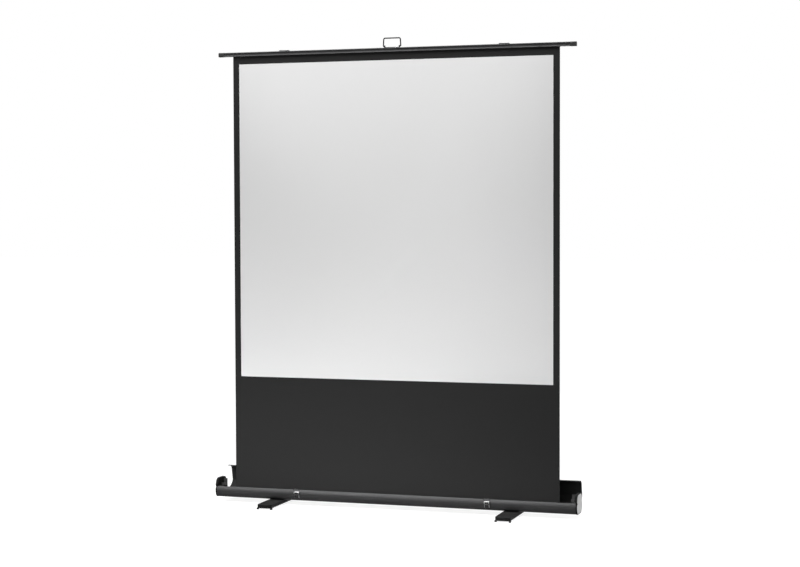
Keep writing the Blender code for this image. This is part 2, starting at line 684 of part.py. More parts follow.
for side, sign in SIDES.items():
    away = sign
    ground = (sign * ARM_X, BASE_PIVOT_Z)
    knee = (sign * KNEE_X, KNEE_Z)
    head = (sign * ARM_X, BAR_PIVOT_Z)

    def layer(inner, outer):
        return sorted((MID_Y + away * inner, MID_Y + away * outer))

    low_arm = flat("Y", *layer(LOWER_IN, LOWER_OUT), slot_shape(ground, knee, ARM_WIDE / 2),
                   circle(ground, HOLE_R), circle(knee, HOLE_R))
    piece(side + "_lower_arm", low_arm, lower[side], "arm_aluminium")
    high_arm = flat("Y", *layer(UPPER_IN, UPPER_OUT), slot_shape(knee, head, ARM_WIDE / 2),
                    circle(knee, HOLE_R), circle(head, HOLE_R))
    piece(side + "_upper_arm", high_arm, upper[side], "arm_aluminium")

    knee_at = (knee[0], 0, knee[1])
    washer = tube("Y", knee_at, HOLE_R, 0.0095, *layer(UPPER_OUT + GAP, LOWER_IN - GAP))
    piece(side + "_knee_washer", washer, lower[side], "black_plastic")
    pin = turned("Y", knee_at, [
        (0, MID_Y + away * (UPPER_IN - 0.0002)),
        (PIN_R, MID_Y + away * (UPPER_IN - 0.0002)),
        (PIN_R, MID_Y + away * (LOWER_OUT + GAP)),
        (0.0080, MID_Y + away * (LOWER_OUT + GAP)),
        (0.0072, MID_Y + away * (LOWER_OUT + 0.0022)),
        (0, MID_Y + away * (LOWER_OUT + 0.0022)),
    ])
    piece(side + "_knee_pin", pin, lower[side], "steel")

    foot_z = FLOOR_IN + 0.0006 + PLATE / 2
    wall_y = MID_Y + away * (BRACKET_IN + PLATE / 2)
    if side == "left":
        bend = [(wall_y + 0.0280, foot_z), (wall_y, foot_z), (wall_y, 0.0775)]
    else:
        bend = [(wall_y - 0.0300, foot_z), (wall_y - 0.0090, foot_z),
                (wall_y, foot_z + 0.0085), (wall_y, 0.0775)]
    shape = [(ground[0] - 0.022, 0.020), (ground[0] + 0.022, 0.020), (ground[0] + 0.022, 0.050)]
    shape += arc(ground, 0.0120, 0.0, 180.0, 11)
    shape += [(ground[0] - 0.022, 0.050)]
    mount = flat("X", ground[0] - 0.024, ground[0] + 0.024, strip(bend, PLATE))
    mount = piece("arm_bracket_" + side, mount, case, "black_steel")
    combine(mount, flat("Y", -0.05, 0.08, shape, circle(ground, HOLE_R)), "INTERSECT")
    ground_at = (ground[0], 0, ground[1])
    pin = turned("Y", ground_at, [
        (0, MID_Y + away * (LOWER_IN - 0.0002)),
        (PIN_R, MID_Y + away * (LOWER_IN - 0.0002)),
        (PIN_R, MID_Y + away * (BRACKET_OUT + GAP)),
        (0.0070, MID_Y + away * (BRACKET_OUT + GAP)),
        (0.0064, MID_Y + away * (BRACKET_OUT + 0.0016)),
        (0, MID_Y + away * (BRACKET_OUT + 0.0016)),
    ])
    piece("base_pin_" + side, pin, case, "steel")

    top_y = BAR_Y - BAR_DEPTH / 2
    back_y = BAR_Y + BAR_DEPTH / 2 + GAP + PLATE / 2
    over_z = BAR_TOP + GAP + PLATE / 2
    step_z = BAR_BOTTOM + 0.0040
    strap = [(top_y + 0.0020, over_z), (back_y, over_z), (back_y, step_z),
             (MID_Y, step_z), (MID_Y, BAR_PIVOT_Z - 0.0120)]
    half = BRACKET_WIDE / 2
    shape = [(head[0] + half, step_z - 0.0020), (head[0] + half, BAR_TOP + 0.010),
             (head[0] - half, BAR_TOP + 0.010), (head[0] - half, step_z - 0.0020)]
    shape += arc(head, 0.0115, 180.0, 360.0, 11)
    hanger = flat("X", head[0] - half - 0.002, head[0] + half + 0.002, strip(strap, PLATE))
    hanger = piece("bar_bracket_" + side, hanger, bar, "black_steel")
    combine(hanger, flat("Y", -0.05, 0.08, shape, circle(head, HOLE_R)), "INTERSECT")
    head_at = (head[0], 0, head[1])
    ends = layer(-PLATE / 2 - 0.0003, UPPER_OUT + 0.0003)
    piece("bar_pin_" + side, rod("Y", head_at, PIN_R, *ends), bar, "steel")


# Top bar: hollow section with a slot below for the sheet, plugs and pull handle

corners = (0.0030, 0.0060, 0.0060, 0.0030)
around = rounded_box((BAR_Y, BAR_Z), BAR_DEPTH, BAR_HEIGHT, corners)
bar_outer = [(SHEET_Y + SLOT_HALF, BAR_BOTTOM)] + around + [(SHEET_Y - SLOT_HALF, BAR_BOTTOM)]
bar_section = bar_outer + list(reversed(offset(bar_outer, BAR_WALL)))
piece("top_bar", flat("X", -BAR_HALF, BAR_HALF, bar_section), bar, "bar_aluminium")
plug_outer = rounded_box((BAR_Y, BAR_Z), BAR_DEPTH + 2 * PLUG_RIM, BAR_HEIGHT + 2 * PLUG_RIM, corners)
inset = 2 * (BAR_WALL + GAP)
plug_inner = rounded_box((BAR_Y, BAR_Z), BAR_DEPTH - inset, BAR_HEIGHT - inset,
                         (0.0015, 0.0042, 0.0042, 0.0015), 4)
for side, sign in SIDES.items():
    head = sorted((sign * (BAR_HALF + GAP), sign * (BAR_HALF + PLUG_HEAD)))
    spigot = sorted((sign * (BAR_HALF - 0.0180), sign * (BAR_HALF + 0.0040)))
    plug = piece("bar_plug_" + side, flat("X", *head, plug_outer), bar, "black_plastic")
    combine(plug, flat("X", *spigot, plug_inner), "UNION")

strip_z = BAR_TOP + GAP
lug_out = HANDLE_HALF_FOOT - HANDLE_BEND - SLIDE
handle_base = piece("pull_handle_base", box((-lug_out, BAR_Y - 0.0065, strip_z),
                                            (lug_out, BAR_Y + 0.0065, strip_z + STRIP)), bar, "black_steel")
lug_shape = [(BAR_Y + 0.0050, strip_z + 0.0005)] + arc((BAR_Y, HANDLE_Z), 0.0050, 0.0, 180.0, 9)
lug_shape += [(BAR_Y - 0.0050, strip_z + 0.0005)]
for sign in (-1, 1):
    span = sorted((sign * (lug_out - 0.0002), sign * (lug_out - HANDLE_LUG)))
    hole = circle((BAR_Y, HANDLE_Z), HANDLE_WIRE + GAP, 16)
    combine(handle_base, flat("X", *span, lug_shape, hole), "UNION")

foot_bend = arc((HANDLE_HALF_FOOT - HANDLE_BEND, HANDLE_BEND), HANDLE_BEND, 270.0, 360.0, 6)
top_bend = arc((HANDLE_HALF_TOP - 2 * HANDLE_BEND, HANDLE_RISE - 2 * HANDLE_BEND),
               2 * HANDLE_BEND, 0.0, 90.0, 6)
half_path = [(lug_out - HANDLE_LUG, 0.0)] + foot_bend + top_bend
bail_path = [(u, BAR_Y, HANDLE_Z + v) for u, v in half_path + mirrored(half_path)]
piece("pull_handle", wire(bail_path, HANDLE_WIRE), bail, "black_steel")
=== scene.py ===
"""Pull-up projection screen: the looks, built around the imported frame. Metres, +Z up."""

import math

import bmesh
import bpy
from mathutils import Matrix, Vector


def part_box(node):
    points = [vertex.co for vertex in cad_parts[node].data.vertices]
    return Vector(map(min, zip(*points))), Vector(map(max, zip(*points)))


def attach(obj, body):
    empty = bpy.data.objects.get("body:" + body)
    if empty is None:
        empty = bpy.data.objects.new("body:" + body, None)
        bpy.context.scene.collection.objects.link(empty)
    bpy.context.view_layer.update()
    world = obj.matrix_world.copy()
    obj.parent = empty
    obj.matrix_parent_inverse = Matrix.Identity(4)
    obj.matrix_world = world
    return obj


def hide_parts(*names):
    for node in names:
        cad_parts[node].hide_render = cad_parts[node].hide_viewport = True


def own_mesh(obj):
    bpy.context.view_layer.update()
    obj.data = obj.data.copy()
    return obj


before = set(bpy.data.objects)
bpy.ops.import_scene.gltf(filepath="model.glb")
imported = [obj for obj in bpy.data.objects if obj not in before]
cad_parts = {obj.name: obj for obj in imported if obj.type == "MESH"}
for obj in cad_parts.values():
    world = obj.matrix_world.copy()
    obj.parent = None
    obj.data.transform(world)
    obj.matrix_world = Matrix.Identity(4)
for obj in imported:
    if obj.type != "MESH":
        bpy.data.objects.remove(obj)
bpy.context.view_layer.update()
scene = bpy.context.scene
scene.view_settings.view_transform = "Standard"


# Camera. It stands to the right of the screen, at about two thirds of its height, and looks slightly
# down. Place, turn and lens are those of the photograph, for a frame of 800 by 567.

EYE_PLACE = (2.7013, -8.1654, 1.4697)
EYE_TURN = 0.3156
EYE_DIP = 0.0423
EYE_ROLL = -0.0032

lens = bpy.data.cameras.new("camera")
lens.sensor_width = 36.0
lens.lens = 79.549
lens.clip_end = 200.0
eye = bpy.data.objects.new("camera", lens)
eye.matrix_world = (
    Matrix.Translation(EYE_PLACE)
    @ Matrix.Rotation(EYE_TURN, 4, "Z")
    @ Matrix.Rotation(math.pi / 2 - EYE_DIP, 4, "X")
    @ Matrix.Rotation(EYE_ROLL, 4, "Z")
)
scene.collection.objects.link(eye)
scene.camera = eye


# Studio. The backdrop is white to the eye and in reflections, and a dim fill to everything else.
# The floor is pale, fades into the backdrop and keeps the shadow under the case and feet.

AMBIENT = 0.07
FLOOR_HALF = 40.0
FLOOR_GLOW = 0.86
FLOOR_SHADE = 0.28
FLOOR_BOUNCE = 0.10
FADE_FROM = 1.0
FADE_TO = 5.0


def shown_white(tree):
    """1 for rays from the eye, from gloss and through glass, 0 for the light that bounces."""
    path = tree.nodes.new("ShaderNodeLightPath")
    either = tree.nodes.new("ShaderNodeMath")
    either.operation = "MAXIMUM"
    tree.links.new(path.outputs["Is Camera Ray"], either.inputs[0])
    tree.links.new(path.outputs["Is Glossy Ray"], either.inputs[1])
    any_of = tree.nodes.new("ShaderNodeMath")
    any_of.operation = "MAXIMUM"
    tree.links.new(either.outputs[0], any_of.inputs[0])
    tree.links.new(path.outputs["Is Transmission Ray"], any_of.inputs[1])
    return any_of.outputs[0]


scene.world = bpy.data.worlds.new("studio")
scene.world.use_nodes = True
air = scene.world.node_tree
level = air.nodes.new("ShaderNodeMapRange")
level.inputs["To Min"].default_value = AMBIENT
level.inputs["To Max"].default_value = 1.0
air.links.new(shown_white(air), level.inputs["Value"])
air.nodes["Background"].inputs["Color"].default_value = (1.0, 1.0, 1.0, 1.0)
air.links.new(level.outputs["Result"], air.nodes["Background"].inputs["Strength"])

ground = bmesh.new()
bmesh.ops.create_grid(ground, x_segments=1, y_segments=1, size=FLOOR_HALF)
floor_mesh = bpy.data.meshes.new("floor")
ground.to_mesh(floor_mesh)
ground.free()
floor = bpy.data.objects.new("floor", floor_mesh)
scene.collection.objects.link(floor)

floor_paint = bpy.data.materials.new("studio_floor")
floor_paint.use_nodes = True
tree = floor_paint.node_tree
tree.nodes.remove(tree.nodes["Principled BSDF"])
spot = tree.nodes.new("ShaderNodeTexCoord")
away = tree.nodes.new("ShaderNodeVectorMath")
away.operation = "LENGTH"
tree.links.new(spot.outputs["Object"], away.inputs[0])
fade = tree.nodes.new("ShaderNodeMapRange")
fade.inputs["From Min"].default_value = FADE_FROM
fade.inputs["From Max"].default_value = FADE_TO
fade.inputs["To Min"].default_value = FLOOR_GLOW
fade.inputs["To Max"].default_value = 1.0
tree.links.new(away.outputs["Value"], fade.inputs["Value"])
glow = tree.nodes.new("ShaderNodeEmission")
tree.links.new(fade.outputs["Result"], glow.inputs["Strength"])
pale = tree.nodes.new("ShaderNodeBsdfDiffuse")
pale.inputs["Color"].default_value = (FLOOR_SHADE, FLOOR_SHADE, FLOOR_SHADE, 1.0)
lit = tree.nodes.new("ShaderNodeAddShader")
tree.links.new(glow.outputs[0], lit.inputs[0])
tree.links.new(pale.outputs[0], lit.inputs[1])
bounce = tree.nodes.new("ShaderNodeBsdfDiffuse")
bounce.inputs["Color"].default_value = (FLOOR_BOUNCE, FLOOR_BOUNCE, FLOOR_BOUNCE, 1.0)
pick = tree.nodes.new("ShaderNodeMixShader")
tree.links.new(shown_white(tree), pick.inputs[0])
tree.links.new(bounce.outputs[0], pick.inputs[1])
tree.links.new(lit.outputs[0], pick.inputs[2])
tree.links.new(pick.outputs[0], tree.nodes["Material Output"].inputs["Surface"])
floor_mesh.materials.append(floor_paint)


# Lamps. A key stands high at the left, a long strip hangs over the case, and two more strips in front
# shine on it. A low box washes the foot of the cloth, and panels light the right end and the back.

for name, place, aim, wide, tall, beam, watts in (
    ("left_key", (-2.2, -3.2, 3.0), (0.0, 0.0, 1.1), 2.0, 1.6, 180.0, 37.0),
    ("case_strip", (-0.04, -0.42, 3.6), (-0.04, -0.36, 0.0), 2.4, 0.5, 60.0, 37.5),
    ("case_high", (-1.2, -2.0, 3.4), (0.0, -0.12, -0.12), 2.8, 0.4, 26.0, 5.0),
    ("case_low", (-1.4, -3.4, 3.0), (0.0, -0.10, -0.10), 2.8, 0.4, 16.0, 5.0),
    ("cloth_foot_wash", (0.52, -0.95, 0.75), (0.52, 0.0, 0.58), 1.8, 0.25, 180.0, 5.5),
    ("right_panel", (4.2, 1.1, 1.5), (0.92, 0.0, 0.08), 1.0, 1.0, 180.0, 80.0),
    ("rear_panel", (-1.2, 4.6, 2.6), (0.0, 0.0, 1.0), 3.0, 2.2, 180.0, 90.0),
):
    lamp = bpy.data.lights.new(name, "AREA")
    lamp.shape = "RECTANGLE"
    lamp.size = wide
    lamp.size_y = tall
    lamp.spread = math.radians(beam)
    lamp.energy = watts
    holder = bpy.data.objects.new(name, lamp)
    holder.location = place
    holder.rotation_euler = (Vector(aim) - Vector(place)).to_track_quat("-Z", "Y").to_euler()
    holder.visible_camera = False
    scene.collection.objects.link(holder)


# Swivel feet. Each is a pressed steel tray, 423 by 76 mm and 2 mm thick, open below and powder coated
# black with a fine orange peel. It turns on a shouldered bolt under the case floor.

TRAY_TOP = 0.0240
TRAY_BEND = 0.0026
TRAY_EDGE = 0.0004
WELD = 0.00001
FLAT_WITHIN = math.radians(0.4)
SHARP_OVER = math.radians(38.0)
SMOOTH_UNDER = math.radians(40.0)
SHADE_SPAN = (0.32, 0.68)
GLOSS_SPAN = (0.3, 0.7)


def cad_copy(node):
    """A welded copy of a CAD node's mesh, with its flat faces whole again."""
    made = bmesh.new()
    made.from_mesh(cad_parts[node].data)
    bmesh.ops.remove_doubles(made, verts=made.verts, dist=WELD)
    bmesh.ops.dissolve_limit(made, angle_limit=FLAT_WITHIN, verts=made.verts, edges=made.edges)
    return made


def ease(made, width, steps=2, above=-math.inf):
    """Rounds the sharp outer edges that lie above a height."""
    sharp = [
        edge
        for edge in made.edges
        if edge.is_manifold and edge.is_convex and edge.calc_face_angle() > SHARP_OVER
        and min(edge.verts[0].co.z, edge.verts[1].co.z) > above
    ]
    bmesh.ops.bevel(
        made, geom=sharp, offset=width, offset_type="OFFSET", affect="EDGES",
        segments=steps, profile=0.5, material=-1, clamp_overlap=True,
    )


def settle(name, made, finishes, body, slot, *nodes):
    """Makes the mesh a piece of the object: shaded, painted, riding on its body."""
    mesh = bpy.data.meshes.new(name)
    made.to_mesh(mesh)
    made.free()
    for finish in finishes:
        mesh.materials.append(finish)
    mesh.shade_smooth()
    mesh.set_sharp_from_angle(angle=SMOOTH_UNDER)
    piece = bpy.data.objects.new(name, mesh)
    scene.collection.objects.link(piece)
    even = piece.modifiers.new("even_shading", "WEIGHTED_NORMAL")
    even.keep_sharp = True
    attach(piece, body)
    if nodes:
        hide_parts(*nodes)
    return piece


def new_finish(name, metallic, specular):
    """A Principled material, with its tree, shader and the piece's own coordinates."""
    finish = bpy.data.materials.new(name)
    finish.use_nodes = True
    tree = finish.node_tree
    shader = tree.nodes["Principled BSDF"]
    shader.inputs["Metallic"].default_value = metallic
    shader.inputs["Specular IOR Level"].default_value = specular
    place = tree.nodes.new("ShaderNodeTexCoord").outputs["Object"]
    return finish, tree, shader, place


def speckle(tree, place, grain, stretch=(1.0, 1.0, 1.0), detail=3.0):
    """Noise whose specks are about so many metres across, drawn out along chosen axes."""
    turn = tree.nodes.new("ShaderNodeMapping")
    turn.inputs["Scale"].default_value = stretch
    tree.links.new(place, turn.inputs["Vector"])
    noise = tree.nodes.new("ShaderNodeTexNoise")
    noise.inputs["Scale"].default_value = 1.0 / grain
    noise.inputs["Detail"].default_value = detail
    tree.links.new(turn.outputs["Vector"], noise.inputs["Vector"])
    return noise.outputs["Fac"]


def tint(tree, value, shader, shades):
    """Colour that drifts between a dark and a light shade of the same finish."""
    ramp = tree.nodes.new("ShaderNodeValToRGB")
    for stop, position, shade in zip(ramp.color_ramp.elements, SHADE_SPAN, shades):
        stop.position = position
        stop.color = (*shade, 1.0)
    tree.links.new(value, ramp.inputs["Fac"])
    tree.links.new(ramp.outputs["Color"], shader.inputs["Base Color"])


def roughen(tree, value, shader, rough):
    """Roughness that drifts between two values."""
    spread = tree.nodes.new("ShaderNodeMapRange")
    spread.inputs["From Min"].default_value = GLOSS_SPAN[0]
    spread.inputs["From Max"].default_value = GLOSS_SPAN[1]
    spread.inputs["To Min"].default_value = rough[0]
    spread.inputs["To Max"].default_value = rough[1]
    tree.links.new(value, spread.inputs["Value"])
    tree.links.new(spread.outputs["Result"], shader.inputs["Roughness"])


def relief(tree, value, shader, depth, strength):
    """Fine height in the surface, in metres."""
    bump = tree.nodes.new("ShaderNodeBump")
    bump.inputs["Distance"].default_value = depth
    bump.inputs["Strength"].default_value = strength
    tree.links.new(value, bump.inputs["Height"])
    tree.links.new(bump.outputs["Normal"], shader.inputs["Normal"])


def grained_finish(name, specular, shades, patch, grain, detail, rough, depth, strength, metallic=0.0):
    """A finish whose shade drifts in patches, with a fine grain in its gloss and relief."""
    finish, tree, shader, place = new_finish(name, metallic, specular)
    fine = speckle(tree, place, grain, detail=detail)
    tint(tree, speckle(tree, place, patch), shader, shades)
    roughen(tree, fine, shader, rough)
    relief(tree, fine, shader, depth, strength)
    return finish


black_coat = grained_finish(
    "black_powder_coat", specular=0.06, shades=((0.006, 0.006, 0.006), (0.010, 0.010, 0.010)),
    patch=0.05, grain=0.0016, detail=2.0, rough=(0.60, 0.72), depth=0.0002, strength=0.35,
)
for side in ("left", "right"):
    tray = cad_copy("foot_" + side)
    ease(tray, TRAY_BEND, steps=4, above=TRAY_TOP)
    ease(tray, TRAY_EDGE)
    settle("swivel_foot_" + side, tray, [black_coat], "swivel_foot_" + side, "black_steel",
           "foot_" + side)


# Foot pads. Four moulded rubber buttons, 13 mm across and 8 mm high, are pressed on the lower edge
# of each foot near its corners. A groove runs round each and the sole is dished.

PAD_PROFILE = (
    (0.0, 0.0077), (0.0065, 0.0077), (0.0065, 0.0052), (0.0060, 0.0048), (0.0060, 0.0040),
    (0.0065, 0.0036), (0.0065, 0.0012), (0.0062, 0.0004), (0.0053, 0.0), (0.0038, 0.0),
    (0.0032, 0.0005), (0.0, 0.0005),
)
PAD_STEPS = 28
CLOSE_WELD = 0.000002


def turned(profile, centre, axis, steps):
    """A profile of (radius, place along the axis) points, spun once about the axis."""
    made = bmesh.new()
    along = Vector(axis)
    across = along.orthogonal().normalized()
    dots = [made.verts.new(Vector(centre) + across * radius + along * run)
            for radius, run in profile]
    lines = [made.edges.new(pair) for pair in zip(dots, dots[1:])]
    bmesh.ops.spin(made, geom=dots + lines, cent=centre, axis=axis, angle=math.tau,
                   steps=steps, use_merge=True)
    bmesh.ops.remove_doubles(made, verts=made.verts, dist=CLOSE_WELD)
    bmesh.ops.recalc_face_normals(made, faces=made.faces)
    return made


rubber = grained_finish(
    "moulded_rubber", specular=0.3, shades=((0.009, 0.009, 0.009), (0.017, 0.017, 0.017)),
    patch=0.006, grain=0.0008, detail=3.0, rough=(0.70, 0.88), depth=0.0001, strength=0.4,
)
for side in ("left", "right"):
    for corner in ("front_outer", "front_inner", "rear_outer", "rear_inner"):
        node = "foot_pad_" + side + "_" + corner
        low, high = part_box(node)
        pad = turned(PAD_PROFILE, ((low.x + high.x) / 2, (low.y + high.y) / 2, 0.0), (0, 0, 1),
                     PAD_STEPS)
        settle("rubber_" + node, pad, [rubber], "swivel_foot_" + side, "rubber", node)


# Case. An aluminium extrusion, 1838 mm long and 2.2 mm thick, rolls from the rim down the front and
# under the floor to the hinge bead. It is satin lacquered dark grey, with faint lines of the die.


def drawn_finish(name, specular, shades, line, along, patch, detail, rough):
    """A finish with fine lines drawn along one axis, and gloss that drifts in patches."""
    finish, tree, shader, place = new_finish(name, 0.0, specular)
    lines = speckle(tree, place, line, stretch=along, detail=4.0)
    tint(tree, lines, shader, shades)
    roughen(tree, speckle(tree, place, patch, detail=detail), shader, rough)
    relief(tree, lines, shader, depth=0.0001, strength=0.12)
    return finish


def eased_piece(name, node, finish, body, slot, edge, steps=2):
    """A CAD node with its sharp edges rounded, as a piece in its finish."""
    made = cad_copy(node)
    ease(made, edge, steps)
    settle(name, made, [finish], body, slot, node)


case_coat = drawn_finish(
    "case_lacquer", specular=0.06, shades=((0.0330, 0.0330, 0.0336), (0.0430, 0.0430, 0.0438)),
    line=0.0022, along=(0.004, 1.0, 1.0), patch=0.14, detail=5.0, rough=(0.40, 0.48),
)
eased_piece("case_shell", "case_base", case_coat, "case", "case_aluminium", edge=0.0005)


# Foot bolts. Zinc plated steel, with a low round head on the case floor, a plain shoulder that the
# foot turns on, and a peened collar under the foot.

zinc, tree, shader, place = new_finish("zinc_plate", metallic=1.0, specular=0.5)
spangle = tree.nodes.new("ShaderNodeTexVoronoi")
spangle.inputs["Scale"].default_value = 420.0
tree.links.new(place, spangle.inputs["Vector"])
smear = speckle(tree, place, grain=0.004)
tint(tree, spangle.outputs["Distance"], shader, shades=((0.36, 0.36, 0.37), (0.50, 0.50, 0.51)))
roughen(tree, smear, shader, rough=(0.26, 0.44))
relief(tree, smear, shader, depth=0.0001, strength=0.1)

for side in ("left", "right"):
    eased_piece("swivel_bolt_" + side, "foot_bolt_" + side, zinc, "case", "steel", edge=0.0004)


# End caps. Moulded black plastic with a fine spark grain. Each closes the case and carries the end
# of the shut lid, with a waist where lid and case meet.

black_plastic = grained_finish(
    "black_moulding", specular=0.05, shades=((0.005, 0.005, 0.005), (0.008, 0.008, 0.008)),
    patch=0.03, grain=0.0011, detail=4.0, rough=(0.62, 0.78), depth=0.00015, strength=0.35,
)
for side in ("left", "right"):
    eased_piece("moulded_cap_" + side, "end_cap_" + side, black_plastic, "case", "black_plastic",
                edge=0.0007)


# End plates. A pale grey satin plate, 1.2 mm thick, covers each cap and leaves its black rim. Two
# low-headed screws through it hold the cap to the extrusion.

PLATE_FACE = 0.9265
FACE_WITHIN = 0.0005
PLATE_SUNK = 0.0004
PLATE_EDGE = 0.0003
CAP_SCREWS = (("low", 0.0430), ("high", 0.1020))
HEAD_SIDES = 24
HEAD_STEPS = ((0.45, 1.0), (0.35, 0.93), (0.20, 0.86))
RECESS_RIM = 0.22
RECESS_DEPTH = 0.6
LOBES = 4
LOBE_MEAN = 0.62
LOBE_SWING = 0.38


def points_of(drawn):
    """The new points of an extrusion."""
    return [item for item in drawn["geom"] if isinstance(item, bmesh.types.BMVert)]


def faces_of(drawn):
    """The new faces of an extrusion."""
    return [item for item in drawn["geom"] if isinstance(item, bmesh.types.BMFace)]


def pan_screw(name, spot, axis, radius, rise, body):
    """A low round-headed zinc screw with a four-lobed recess, its seat at the spot."""
    made = bmesh.new()
    bmesh.ops.create_circle(made, cap_ends=True, radius=radius, segments=HEAD_SIDES)
    crown = made.faces[:]
    for lift, width in HEAD_STEPS:
        drawn = bmesh.ops.extrude_face_region(made, geom=crown)
        crown = faces_of(drawn)
        ring = points_of(drawn)
        bmesh.ops.translate(made, vec=(0, 0, rise * lift), verts=ring)
        bmesh.ops.scale(made, vec=(width, width, 1.0), verts=ring)
    bmesh.ops.inset_region(made, faces=crown, thickness=radius * RECESS_RIM, use_even_offset=True)
    for dot in crown[0].verts:
        lobe = LOBE_MEAN + LOBE_SWING * math.cos(LOBES * math.atan2(dot.co.y, dot.co.x))
        dot.co.x *= lobe
        dot.co.y *= lobe
    drawn = bmesh.ops.extrude_face_region(made, geom=crown)
    bmesh.ops.translate(made, vec=(0, 0, -rise * RECESS_DEPTH), verts=points_of(drawn))
    bmesh.ops.delete(made, geom=crown, context="FACES_ONLY")
    turn = Vector((0, 0, 1)).rotation_difference(Vector(axis)).to_matrix()
    bmesh.ops.rotate(made, cent=(0, 0, 0), matrix=turn, verts=made.verts)
    bmesh.ops.translate(made, vec=spot, verts=made.verts)
    bmesh.ops.recalc_face_normals(made, faces=made.faces)
    settle(name, made, [zinc], body, "steel")


pale_plate = drawn_finish(
    "pale_end_plate", specular=0.4, shades=((0.44, 0.44, 0.44), (0.56, 0.56, 0.56)),
    line=0.0009, along=(1.0, 1.0, 0.05), patch=0.02, detail=3.0, rough=(0.38, 0.52),
)
for side, out in (("left", -1.0), ("right", 1.0)):
    cover = cad_copy("end_plate_" + side)
    outer = [vert for vert in cover.verts if abs(vert.co.x) > PLATE_FACE - FACE_WITHIN]
    bmesh.ops.translate(cover, vec=(-out * PLATE_SUNK, 0, 0), verts=outer)
    ease(cover, PLATE_EDGE)
    settle("cap_cover_" + side, cover, [pale_plate], "case", "grey_plate", "end_plate_" + side)
    for tier, height in CAP_SCREWS:
        pan_screw("cap_screw_" + side + "_" + tier, (out * (PLATE_FACE - PLATE_SUNK), 0.0, height),
                  (out, 0, 0), radius=0.0032, rise=0.0004, body="case")


# Roller brackets. Grey moulded saddles stand at both ends of the case. The bar's end plugs settle in
# them when the screen is down, and their cheeks hold the roller shaft.

grey_plastic = grained_finish(
    "grey_moulding", specular=0.12, shades=((0.036, 0.036, 0.036), (0.050, 0.050, 0.050)),
    patch=0.02, grain=0.0010, detail=4.0, rough=(0.42, 0.56), depth=0.00015, strength=0.3,
)
for side in ("left", "right"):
    eased_piece("saddle_" + side, "roller_bracket_" + side, grey_plastic, "case", "grey_plastic",
                edge=0.0005)


# Roller. A drawn aluminium tube, 33 mm across, turns on plastic plugs about a fixed steel shaft, and
# a coil spring inside it winds the cloth in.

ROLLER_Y = -0.029
ROLLER_Z = 0.052

satin = grained_finish(
    "satin_aluminium", specular=0.5, shades=((0.21, 0.21, 0.215), (0.25, 0.25, 0.255)),
    patch=0.04, grain=0.0007, detail=3.0, rough=(0.34, 0.46), depth=0.0001, strength=0.15,
    metallic=1.0,
)
settle("drawn_tube", cad_copy("roller_tube"), [satin], "roller", "arm_aluminium", "roller_tube")
eased_piece("fixed_shaft", "roller_shaft", zinc, "case", "steel", edge=0.0006)
for side in ("left", "right"):
    eased_piece("tube_plug_" + side, "roller_plug_" + side, black_plastic, "roller",
                "black_plastic", edge=0.0008)
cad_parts["roller_spring"].data.materials.clear()
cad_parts["roller_spring"].data.materials.append(zinc)


# Cloth. One coated sheet, 1664 mm wide and half a millimetre thick, rises from behind the roller into
# the slot of the bar. The face is matt white in a black mask, the back is black.

SHEET_HALF = 0.832
SHEET_Y = -0.01035
SHEET_FOOT = 0.052
SHEET_HEAD = 2.23165
SHEET_THICK = 0.0005
SHEET_CELLS = (52, 68)
WHITE_HALF = 0.800
WHITE_FOOT = 0.633
WHITE_HEAD = 2.189
THREAD_PITCH = 0.001
WAVES_PER_UNIT = 20.0 / math.tau


def weave(name, shades, roughness):
    """Plain woven cloth under a thin coat: threads a millimetre apart, both ways."""
    finish = bpy.data.materials.new(name)
    finish.use_nodes = True
    tree = finish.node_tree
    shader = tree.nodes["Principled BSDF"]
    shader.inputs["Specular IOR Level"].default_value = 0.12
    shader.inputs["Roughness"].default_value = roughness
    laid = tree.nodes.new("ShaderNodeUVMap")
    laid.uv_map = "cloth"
    crossing = tree.nodes.new("ShaderNodeMath")
    crossing.operation = "ADD"
    for index, direction in enumerate(("X", "Y")):
        thread = tree.nodes.new("ShaderNodeTexWave")
        thread.bands_direction = direction
        thread.inputs["Scale"].default_value = 1.0 / (THREAD_PITCH * WAVES_PER_UNIT)
        thread.inputs["Distortion"].default_value = 0.6
        tree.links.new(laid.outputs["UV"], thread.inputs["Vector"])
        tree.links.new(thread.outputs["Fac"], crossing.inputs[index])
    tint(tree, speckle(tree, laid.outputs["UV"], grain=0.004, detail=2.0), shader, shades)
    relief(tree, crossing.outputs[0], shader, depth=0.0001, strength=0.12)
    return finish


white_cloth = weave("matt_white_cloth", ((0.752, 0.752, 0.752), (0.762, 0.762, 0.762)), 0.85)
mask_cloth = weave("black_mask_cloth", ((0.0183, 0.0183, 0.0183), (0.0197, 0.0197, 0.0197)), 0.88)
back_cloth = weave("black_back_cloth", ((0.014, 0.014, 0.014), (0.019, 0.019, 0.019)), 0.80)

sheet = bmesh.new()
bmesh.ops.create_grid(sheet, x_segments=SHEET_CELLS[0], y_segments=SHEET_CELLS[1], size=0.5)
bmesh.ops.scale(sheet, vec=(2 * SHEET_HALF, SHEET_HEAD - SHEET_FOOT, 1.0), verts=sheet.verts)
bmesh.ops.rotate(sheet, cent=(0, 0, 0), matrix=Matrix.Rotation(math.pi / 2, 3, "X"),
                 verts=sheet.verts)
bmesh.ops.translate(sheet, verts=sheet.verts,
                    vec=(0.0, SHEET_Y - SHEET_THICK / 2, (SHEET_HEAD + SHEET_FOOT) / 2))
for spot, across in (((WHITE_HALF, 0, 0), (1, 0, 0)), ((-WHITE_HALF, 0, 0), (1, 0, 0)),
                     ((0, 0, WHITE_FOOT), (0, 0, 1)), ((0, 0, WHITE_HEAD), (0, 0, 1))):
    bmesh.ops.bisect_plane(sheet, geom=sheet.verts[:] + sheet.edges[:] + sheet.faces[:],
                           plane_co=spot, plane_no=across, dist=WELD)
